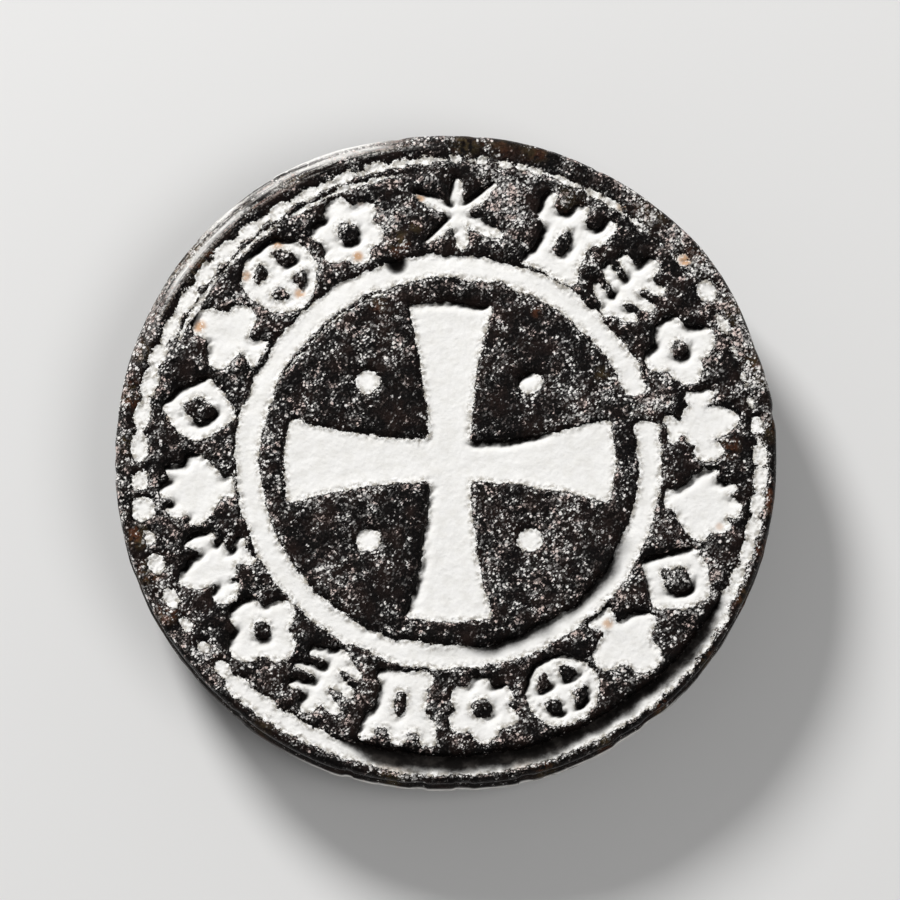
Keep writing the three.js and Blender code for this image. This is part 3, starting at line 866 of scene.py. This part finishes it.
def disc_marks(x, y, z, inside, normals):
    """The disc's named values: dust and painted glints, rust, worn edges and lines painted as highlights,
    and where its side wall is
    """
    angle = clockwise(x, y)
    radius = from_middle(x, y)
    out = radius - next(cut for cut in cuts if isinstance(cut, Border)).radius
    lit = math.radians(KEY_LIGHT_SIDE)
    lean = normals[:, :2] @ np.array([math.sin(lit), math.cos(lit)])
    wear_and_highlight = over(angle, WORN_HIGHLIGHT_SPAN)
    outermost = smooth(out, 0.52, 0.64)

    dust = BAND_DUST - MIDDLE_CLEAN * (1 - smooth(radius, 7.6, 8.6)) + lumpy(x, y, DUST_CLOUDS)
    # Slopes that face the key light get more pale specks, and so does a cut's brink on that side: painted
    # highlight
    dust += np.clip(1.3 * lean, -0.5, 0.45)
    dust += PATCH_DUST * spots(x, y, DUST_PATCHES)
    dust += LIT_BRINK_GLINTS * (1 - smooth(-inside, 0.04, 0.22)) * smooth(lean, -0.05, 0.2)
    dust *= 1 - 0.8 * wear_and_highlight * smooth(out, 0.2, 0.4) * (1 - outermost)
    # The rim's worn zone, whose worn metal is painted bright as a highlight where the key light falls
    edge = outermost * wear_and_highlight * smooth(z, FACE - 0.5, FACE - 0.3)
    dust *= 1 - 0.6 * edge

    # A painted highlight line along the back edge, faint all round and brightest over a span at the bottom
    lip = np.exp(-(((z - BACK - BACK_HIGHLIGHT_HEIGHT) / BACK_HIGHLIGHT_HALF_WIDTH) ** 2)) * smooth(np.hypot(x, y), 14.5, 14.75)
    lip *= FAINT_BACK_HIGHLIGHT + (BRIGHT_BACK_HIGHLIGHT - FAINT_BACK_HIGHLIGHT) * over(angle, BACK_HIGHLIGHT_SPAN)
    return {
        "dust": np.where(z > FACE - 0.35, dust + SPARSEST, 0),
        "rust": spots(x, y, RUST_PATCHES),
        "edge": RIM_HIGHLIGHT_BRIGHTNESS * edge,
        "lip": np.maximum(lip, worn_lines(x, y, z, angle)),
        "side": 1 - smooth(z, FACE - 0.55, FACE - 0.35),
    }


def make_disc(material):
    rings = face_rings()
    rings += bevel_rings(rings[-1])
    rings += side_rings()
    rings += back_rings(rings[-1])
    counts = [len(ring[0]) for ring in rings]
    total = sum(counts)
    quads, triangles = stitched(counts)
    top_fan = fan(total, 0, counts[0], 1)
    bottom_fan = fan(total + 1, total - counts[-1], counts[-1], -1)
    x, y, z, inside = (np.concatenate([ring[i] for ring in rings]) for i in range(4))
    x = np.append(x, [0, 0])
    y = np.append(y, [0, 0])
    z = np.append(z, [metal(np.zeros(1), np.zeros(1))[0][0], BACK - BACK_GROWTH])
    inside = np.append(inside, [1, -1])
    points = rows(x, y, z)
    disc = new_mesh("engraved_disc", points, quads, np.vstack([triangles, top_fan, bottom_fan]))
    mark(disc, **disc_marks(x, y, z, inside, read(disc.data.vertices, "normal", 3)))
    dress(disc, "disc", "matrix", material)


# The powder, as a closed crust over the lining of each cut

def blurred(values, passes):
    """The same grid of values, each one averaged with its neighbours a few times"""
    for _ in range(passes):
        wide = np.pad(values, 1, mode="edge")
        beside = wide[:-2, 1:-1] + wide[2:, 1:-1] + wide[1:-1, :-2] + wide[1:-1, 2:]
        values = (beside + 2 * values) / 6
    return values


def shrunk_share(distance, x, y):
    """How far the powder has shrunk from the nearest wall, over a grid of points, from 0 to 1"""
    inward_x, inward_y = np.gradient(distance, POWDER_STEP)
    side = math.radians(KEY_LIGHT_SIDE)
    facing = np.clip(-inward_x * math.sin(side) - inward_y * math.cos(side), 0, 1)
    shrunk = blurred(facing * (1 - smooth(distance, 0.05, 0.6)), SHRINKAGE_BLURS)
    return shrunk * (0.15 + 0.85 * smooth(noise(x, y, 3.5, 5), -0.4, 0.35))


def powder_level(distance, shrunk, x, y):
    """The height of the powder over a grid of points, from how far inside the cut each one lies"""
    near_wall = 1 - smooth(distance, 0.05, 0.35)
    fine_height = FINE_LUMPS + FINE_LUMPS_AT_WALL * near_wall
    lumps = 0.012 * rough(x, y, 0.55, 3) + fine_height * noise(x, y, 0.15, 6)
    lumps += fine_height * noise(x, y, 0.08, 39)
    sag = POWDER_AT_WALL + POWDER_SAG * (1 - np.exp(-np.maximum(distance, 0) / POWDER_SAG_WIDTH))
    return FACE + lumps - sag - SHRINKAGE * shrunk


def crust(cells):
    """Which points of a grid the given cells use, and the faces of a closed crust that is made of them

    The crust has the used points twice, first all those of its upper side and then those of its base.
    """
    used = np.zeros((cells.shape[0] + 1, cells.shape[1] + 1), bool)
    for part in (used[:-1, :-1], used[1:, :-1], used[1:, 1:], used[:-1, 1:]):
        part |= cells
    count = used.sum()
    index = np.full(used.shape, -1)
    index[used] = np.arange(count)
    a, b, c, d = index[:-1, :-1], index[1:, :-1], index[1:, 1:], index[:-1, 1:]
    top = rows(a[cells], b[cells], c[cells], d[cells])
    padded = np.pad(cells, 1)
    faces = [top, top[:, ::-1] + count]
    for start, end, beside in (
        (a, b, padded[1:-1, :-2]),
        (b, c, padded[2:, 1:-1]),
        (c, d, padded[1:-1, 2:]),
        (d, a, padded[:-2, 1:-1]),
    ):
        open_side = cells & ~beside
        first = start[open_side]
        second = end[open_side]
        faces.append(rows(second, first, first + count, second + count))
    return used, np.vstack(faces)


def make_powder(cut, material):
    across = np.arange(cut.low[0], cut.high[0], POWDER_STEP)
    up = np.arange(cut.low[1], cut.high[1], POWDER_STEP)
    x, y = np.meshgrid(across, up, indexing="ij")
    distance = cut.distance(x, y)
    near = distance > -0.1
    lining = np.zeros(x.shape)
    lining[near] = metal(x[near], y[near])[0]
    shrunk = SHRINKAGE_SHARES[type(cut).__name__] * shrunk_share(distance, x, y)
    lost = cut.lost(x, y)
    level = powder_level(distance, shrunk, x, y) - LOSS_DEPTH * lost
    covered = near & (level > lining)
    used, faces = crust(covered[:-1, :-1] & covered[1:, 1:] | covered[1:, :-1] & covered[:-1, 1:])
    lining = np.where(near, lining, level + LINING_RISE)[used]
    x, y, level = x[used], y[used], level[used]
    surface = np.maximum(level, lining - CRUST_OVERLAP)
    base = np.minimum(surface, lining) - CRUST_THICKNESS
    points = np.vstack([rows(x, y, z) for z in (surface, base)])
    values = {
        "stain": spots(x, y, POWDER_STAINS),
        # Where the powder has shrunk from the wall it is painted dark as a shadow; where it is lost, dark
        # as bare metal and shadow
        "painted_shade": smooth(shrunk[used], 0.1, 0.85),
        "lost_and_shaded": lost[used],
        "brink": 1 - smooth(distance[used], 0.0, 0.38),
        "thin": 1 - smooth(level - lining, 0.0, 0.12),
    }
    values = {name: np.tile(value, 2) for name, value in values.items()}
    piece = new_mesh(cut.node.replace("fill", "powder"), points, faces, **values)
    dress(piece, cut.node, "matrix", material)


# The hinge and the handle, as finely divided copies of their CAD solids with softened, uneven surfaces

def neighbour_mean(points, edges):
    """The mean of each point's neighbours along the edges"""
    total = np.zeros_like(points)
    count = np.zeros(len(points))
    for near, far in ((0, 1), (1, 0)):
        np.add.at(total, edges[:, near], points[edges[:, far]])
        np.add.at(count, edges[:, near], 1)
    return total / np.maximum(count, 1)[:, None]


def refined(node, name, fineness):
    """A copy of a node as small even faces, with rounded edges and an uneven surface above the floor"""
    mesh = frame["nodes"][node].data.copy()
    mesh.transform(Matrix.Scale(1 / MM, 4))
    carrier = bpy.data.objects.new(name + "_shape", mesh)
    bpy.context.scene.collection.objects.link(carrier)
    remesh = carrier.modifiers.new("remesh", "REMESH")
    remesh.mode = "VOXEL"
    remesh.voxel_size = fineness
    fine = bpy.data.meshes.new_from_object(carrier.evaluated_get(bpy.context.evaluated_depsgraph_get()))
    bpy.data.objects.remove(carrier)
    points = read(fine.vertices, "co", 3)
    edges = read(fine.edges, "vertices", 2, np.int32)
    sharp = points.copy()
    for _ in range(ROUNDING_PASSES):
        points = (points + neighbour_mean(points, edges)) / 2
    fine.vertices.foreach_set("co", points.ravel())
    fine.update()
    normals = read(fine.vertices, "normal", 3)
    lost = ((sharp - points) * normals).sum(axis=1)
    for _ in range(4):
        lost = (lost + neighbour_mean(lost[:, None], edges)[:, 0]) / 2
    x, y, z = points.T
    lumps = rough(x + 0.8 * z, y - 0.6 * z, 0.9, 18) + 0.5 * noise(x - 0.5 * z, y + 0.9 * z, 0.25, 30)
    points = points + normals * (UNEVENNESS * lumps)[:, None]
    points[:, 2] = np.maximum(points[:, 2], 0)
    fine.vertices.foreach_set("co", (points * MM).ravel())
    fine.materials.clear()
    fine.update()
    none = 0 * x
    edge = smooth(lost, 0.004, 0.03)
    return new_object(name, fine, edge=edge, lip=none, dust=none, rust=none, side=none)


# Materials

class Finish:
    """A material, or the world, with short names for the nodes that its patterns are made of"""

    def __init__(self, name, owners=bpy.data.materials, kind="BsdfPrincipled", output="OutputMaterial"):
        self.material = owners.new(name)
        self.material.use_nodes = True
        self.nodes = self.material.node_tree.nodes
        self.links = self.material.node_tree.links
        self.nodes.clear()
        self.surface = self.add("ShaderNode" + kind)
        self.add("ShaderNode" + output, {"Surface": self.surface.outputs[0]})

    @cached_property
    def place(self):
        """Coordinates in millimetres"""
        where = self.add("ShaderNodeTexCoord").outputs["Object"]
        return self.vector("SCALE", {0: where, "Scale": 1 / MM})

    def add(self, kind, inputs=None, **settings):
        node = self.nodes.new(kind)
        for key, value in settings.items():
            setattr(node, key, value)
        for key, value in (inputs or {}).items():
            self.feed(node.inputs[key], value)
        return node

    def feed(self, socket, value):
        if isinstance(value, bpy.types.NodeSocket):
            self.links.new(value, socket)
        else:
            socket.default_value = value

    def set(self, name, value):
        self.feed(self.surface.inputs[name], value)

    def attribute(self, name):
        return self.add("ShaderNodeAttribute", attribute_name=name).outputs["Fac"]

    def noise(self, per_mm, detail, roughness, where=None):
        inputs = {"Vector": where or self.place, "Scale": per_mm, "Detail": detail, "Roughness": roughness}
        return self.add("ShaderNodeTexNoise", inputs).outputs[0]

    def math(self, operation, first, second):
        return self.add("ShaderNodeMath", {0: first, 1: second}, operation=operation).outputs[0]

    times = partialmethod(math, "MULTIPLY")
    plus = partialmethod(math, "ADD")
    minus = partialmethod(math, "SUBTRACT")

    def most(self, first, *others):
        for other in others:
            first = self.math("MAXIMUM", first, other)
        return first

    def vector(self, operation, inputs):
        return self.add("ShaderNodeVectorMath", inputs, operation=operation).outputs[0]

    def step(self, value, low, high, bottom=0.0, top=1.0):
        """A smooth step from one value to another as the input goes from low to high"""
        inputs = {"Value": value, "From Min": low, "From Max": high, "To Min": bottom, "To Max": top}
        return self.add("ShaderNodeMapRange", inputs, interpolation_type="SMOOTHSTEP").outputs[0]

    def mix(self, share, first, second):
        """The first colour where the share is 0, the second where it is 1"""
        return self.add("ShaderNodeMix", {0: share, 6: first, 7: second}, data_type="RGBA").outputs[2]

    def grains(self, per_mm, share, size, where, brightness):
        """Round grains in a share of evenly sized cells, whose brightness is a step over random values"""
        cells = self.add("ShaderNodeTexVoronoi", {"Vector": where, "Scale": per_mm})
        chance = self.add("ShaderNodeSeparateColor", {0: cells.outputs["Color"]})
        there = self.step(self.minus(share, chance.outputs[0]), 0.0, 0.03)
        shape = self.step(cells.outputs["Distance"], 0.75 * size, size, 1.0, 0.0)
        return self.times(self.step(chance.outputs[1], *brightness), self.times(there, shape))

    def jittered(self, where, per_mm, reach):
        """The same coordinates, shaken by a fine noise, so that what is drawn in them is ragged"""
        shake = self.add("ShaderNodeTexNoise", {"Vector": self.place, "Scale": per_mm, "Detail": 1.0})
        centred = self.vector("SUBTRACT", {0: shake.outputs[1], 1: (0.5, 0.5, 0.5)})
        return self.vector("ADD", {0: where, 1: self.vector("SCALE", {0: centred, "Scale": reach})})

    def stretched(self, angle, along, across):
        """Coordinates for lumps of a given length and width, in mm, at an angle from the right"""
        turned = (0, 0, math.radians(angle))
        inputs = {"Vector": self.place, "Rotation": turned, "Scale": (along, across, across)}
        return self.add("ShaderNodeMapping", inputs, vector_type="TEXTURE").outputs[0]

    def round_the_middle(self, along, across):
        """Coordinates that run along and across circles round the disc's middle"""
        split = self.add("ShaderNodeSeparateXYZ", {0: self.place})
        x, y, z = split.outputs
        turn = self.math("ARCTAN2", y, x)
        radius = self.math("SQRT", self.plus(self.times(x, x), self.times(y, y)), 0.0)
        inputs = {0: self.times(turn, along), 1: self.times(radius, across), 2: z}
        return self.add("ShaderNodeCombineXYZ", inputs).outputs[0]

    def bump(self, *layers):
        """Surface relief from pairs of a pattern and its height in millimetres"""
        normal = None
        for pattern, height in layers:
            inputs = {"Height": pattern, "Distance": height * MM, "Strength": 1.0}
            if normal is not None:
                inputs["Normal"] = normal
            normal = self.add("ShaderNodeBump", inputs).outputs[0]
        self.set("Normal", normal)


def dark_bronze():
    finish = Finish("dark_bronze")
    dust = finish.attribute("dust")
    side = finish.attribute("side")

    # Near black metal with brown clouds
    clouds = finish.step(finish.noise(0.9, 4, 0.6), 0.42, 0.7)
    color = finish.mix(clouds, NEAR_BLACK, DEEP_BROWN)
    grain = finish.noise(7.5, 4, 0.7)
    color = finish.mix(finish.step(grain, 0.52, 0.78), color, GREY_BROWN)

    # Sienna and olive patches
    patchy = finish.times(finish.attribute("rust"), finish.step(finish.noise(3.4, 4, 0.65), 0.40, 0.60))
    olive = finish.step(finish.noise(0.7, 3, 0.6), 0.40, 0.54)
    color = finish.mix(patchy, color, finish.mix(olive, SIENNA, OLIVE))

    # Worn metal painted bright as a highlight, in flecked streaks that follow the rim, with ochre and pink
    # among them, and painted highlight lines
    along_rim = finish.round_the_middle(6.0, 8.0)
    streaks = finish.noise(1.0, 4, 0.72, along_rim)
    flecked = finish.step(grain, 0.44, 0.55, 0.1, 1.0)
    wear_and_highlight = finish.times(finish.attribute("edge"), finish.step(streaks, 0.43, 0.54))
    wear_and_highlight = finish.times(wear_and_highlight, flecked)
    highlight_line = finish.times(finish.attribute("lip"), finish.step(streaks, 0.32, 0.46))
    ochre = finish.step(finish.noise(0.75, 3, 0.7, along_rim), 0.46, 0.66)
    pink = finish.step(finish.noise(0.5, 4, 0.7, along_rim), 0.52, 0.66)
    bright = finish.mix(pink, finish.mix(ochre, PALE_HIGHLIGHT_METAL, OCHRE_HIGHLIGHT_METAL), PINK_HIGHLIGHT_METAL)
    color = finish.mix(wear_and_highlight, color, bright)
    color = finish.mix(highlight_line, color, HIGHLIGHT_WHITE)
    wear_and_highlight = finish.most(wear_and_highlight, highlight_line)

    # Grains of pale dust, which also stand in for painted glints, gathered in clusters. The fine and the
    # dim ones slant
    wide = finish.minus(finish.noise(1.3, 4, 0.7), 0.5)
    narrow = finish.minus(finish.noise(4.5, 3, 0.7), 0.5)
    gathered = finish.plus(finish.times(wide, 2.7), finish.times(narrow, 1.5))
    share = finish.plus(finish.minus(dust, SPARSEST), gathered)
    slanting = finish.stretched(40, 0.14, 0.078)
    steeper = finish.stretched(62, 0.13, 0.085)
    dust_and_glint_specks = finish.most(*(
        finish.grains(per_mm, finish.plus(share, more), size, finish.jittered(place, *shake), brightness)
        for place, shake, per_mm, more, size, brightness in (
            (slanting, (12.0, 0.7), 1.0, 0.03, 0.52, (0.1, 0.9, 0.12, 1.0)),
            (finish.place, (9.0, 0.13), 6.2, 0.0, 0.54, (0.2, 0.8, 0.25, 1.0)),
            (finish.place, (7.0, 0.2), 4.3, -0.24, 0.42, (0.1, 0.7, 0.4, 1.0)),
            (steeper, (11.0, 0.7), 1.0, 0.42, 0.6, (0.2, 1.0, 0.0, 0.11)),
        )
    ))
    rosy = finish.step(finish.noise(1.5, 3, 0.6), 0.48, 0.62)
    color = finish.mix(dust_and_glint_specks, color, finish.mix(rosy, PALE_DUST_AND_GLINT, ROSY_DUST_AND_GLINT))

    finish.set("Base Color", color)
    bare = finish.minus(1.0, finish.most(dust_and_glint_specks, side, wear_and_highlight))
    finish.set("Metallic", finish.times(bare, 0.75))
    shine = finish.step(finish.noise(4.0, 3, 0.6), 0.3, 0.7, 0.28, 0.5)
    covered = finish.step(finish.most(dust_and_glint_specks, side), 0.0, 1.0, 0.0, 0.95)
    finish.set("Roughness", finish.most(shine, covered))
    finish.set("Specular IOR Level", finish.step(side, 0.0, 1.0, 0.16, 0.05))
    scratches = finish.noise(1.0, 2, 0.6, finish.stretched(48, 1.2, 0.07))
    finish.bump((finish.noise(3.2, 3, 0.6), 0.05), (grain, 0.06), (dust_and_glint_specks, 0.03), (scratches, 0.01))
    return finish.material


def handled_bronze():
    finish = Finish("handled_bronze")
    clouds = finish.step(finish.noise(0.8, 4, 0.6), 0.35, 0.7)
    color = finish.mix(clouds, DARK_BRONZE, WARM_BRONZE)
    grain = finish.noise(5.0, 4, 0.6)
    color = finish.mix(finish.step(grain, 0.58, 0.75), color, GREY_OLIVE)
    wear_and_highlight = finish.times(finish.attribute("edge"), finish.step(finish.noise(2.4, 3, 0.6), 0.3, 0.55))
    finish.set("Base Color", finish.mix(wear_and_highlight, color, WORN_BRONZE))
    finish.set("Metallic", 0.9)
    finish.set("Roughness", finish.step(grain, 0.3, 0.7, 0.34, 0.55))
    marks = finish.noise(1.0, 2, 0.6, finish.stretched(98, 1.0, 0.08))
    finish.bump((grain, 0.03), (marks, 0.012))
    return finish.material


def white_powder():
    finish = Finish("white_powder")
    painted_shade = finish.attribute("painted_shade")

    # Off-white, with fine grey grains, ochre stains and dark smudges along the brink
    soft = finish.step(finish.noise(2.0, 4, 0.6), 0.38, 0.72)
    color = finish.mix(soft, WHITEST, OFF_WHITE)
    grains = finish.noise(13.0, 3, 0.7)
    color = finish.mix(finish.step(grains, 0.60, 0.74, 0.0, 0.25), color, GREY_GRAIN)
    stained = finish.times(finish.attribute("stain"), finish.step(finish.noise(5.0, 3, 0.6), 0.33, 0.5))
    color = finish.mix(stained, color, OCHRE_STAIN)
    smudged = finish.step(finish.noise(3.6, 4, 0.7), 0.45, 0.6, 0.0, 0.9)
    color = finish.mix(finish.times(finish.attribute("brink"), smudged), color, SMUDGE)

    # Painted shadow where it has shrunk from the wall, and painted darker by degrees where it is lost, as
    # bare metal and shadow
    patches = finish.times(finish.minus(finish.noise(4.5, 4, 0.7), 0.5), 0.9)
    shaded_share = finish.step(finish.plus(painted_shade, finish.times(patches, painted_shade)), 0.0, 0.9)
    uneven = finish.step(finish.noise(1.1, 3, 0.6), 0.46, 0.64)
    shade_color = finish.mix(uneven, DEEPEST_SHADE, DEEP_SHADE)
    color = finish.mix(shaded_share, color, shade_color)
    left = finish.minus(1.0, finish.times(finish.attribute("lost_and_shaded"), finish.plus(patches, 1.0)))
    left = finish.math("POWER", finish.most(left, 0.0), LOSS_SHADE_FADE)
    color = finish.mix(left, shade_color, color)

    # Bare metal shows through where it is thinnest
    missing = finish.step(finish.noise(12.0, 2, 0.7), 0.36, 0.64, 0.1, 1.0)
    bare = finish.step(finish.minus(finish.attribute("thin"), missing), 0.0, 0.12)
    finish.set("Base Color", finish.mix(bare, color, BARE_METAL))
    finish.set("Roughness", 1.0)
    finish.set("Specular IOR Level", 0.1)
    finish.bump((finish.noise(5.0, 3, 0.6), 0.01), (grains, 0.014))
    return finish.material


# The pieces

dark = dark_bronze()
handled = handled_bronze()
powder = white_powder()
make_disc(dark)
for cut in cuts:
    make_powder(cut, powder)
for node, name, fineness, body, slot, material in (
    ("left_lug", "left_hinge_ear", 0.07, "matrix", "dark_bronze", dark),
    ("right_lug", "right_hinge_ear", 0.07, "matrix", "dark_bronze", dark),
    ("hinge_pin", "peened_pin", 0.05, "matrix", "handled_bronze", handled),
    ("folding_handle", "pierced_handle", 0.08, "handle", "handled_bronze", handled),
):
    dress(refined(node, name, fineness), node, body, material)


# The floor, the light and the camera

def make_floor():
    bpy.ops.mesh.primitive_plane_add(size=6)
    floor = bpy.context.object
    floor.name = "floor"
    finish = Finish("floor")
    finish.set("Base Color", FLOOR_GREY)
    finish.set("Roughness", 1.0)
    finish.set("Specular IOR Level", 0.0)
    floor.data.materials.append(finish.material)


def make_lamp(name, azimuth, elevation, distance, size, power):
    """An area light that looks at the part. Its azimuth is clockwise from the top of the picture"""
    turn = math.radians(90 - azimuth)
    rise = math.radians(elevation)
    direction = Vector((math.cos(turn) * math.cos(rise), math.sin(turn) * math.cos(rise), math.sin(rise)))
    data = bpy.data.lights.new(name, "AREA")
    data.shape = "DISK"
    data.size = size
    data.energy = power
    lamp = bpy.data.objects.new(name, data)
    lamp.location = direction * distance
    lamp.rotation_euler = direction.to_track_quat("Z", "Y").to_euler()
    bpy.context.scene.collection.objects.link(lamp)


def make_world():
    """A soft room that is pale at the height of the floor and darker overhead"""
    room = Finish("room", bpy.data.worlds, "Background", "OutputWorld")
    direction = room.add("ShaderNodeTexCoord").outputs["Generated"]
    height = room.add("ShaderNodeSeparateXYZ", {0: direction}).outputs[2]
    room.set("Color", room.mix(room.step(height, 0.05, 0.75), WALL_GREY, CEILING_GREY))
    room.set("Strength", 1.0)
    bpy.context.scene.world = room.material


def make_camera():
    """The photograph's view"""
    elevation = math.radians(CAMERA_ELEVATION)
    data = bpy.data.cameras.new("camera")
    data.lens = 500
    data.sensor_width = 36
    distance = PICTURE_WIDTH * data.lens / data.sensor_width
    away = Vector((0, -math.cos(elevation), math.sin(elevation)))
    up = Vector((0, math.sin(elevation), math.cos(elevation)))
    target = Vector((PICTURE_RIGHT, 0, FACE)) + PICTURE_UP * up
    camera = bpy.data.objects.new("camera", data)
    camera.location = (target + away * distance) * MM
    camera.rotation_euler = away.to_track_quat("Z", "Y").to_euler()
    data.clip_start = 0.01
    data.clip_end = 10
    bpy.context.scene.collection.objects.link(camera)
    bpy.context.scene.camera = camera


make_floor()
make_lamp("key", azimuth=327, elevation=35, distance=0.4, size=0.12, power=1.56)
make_lamp("fill", azimuth=120, elevation=60, distance=0.6, size=0.35, power=0.95)
make_world()
make_camera()
bpy.context.scene.view_settings.view_transform = "Standard"
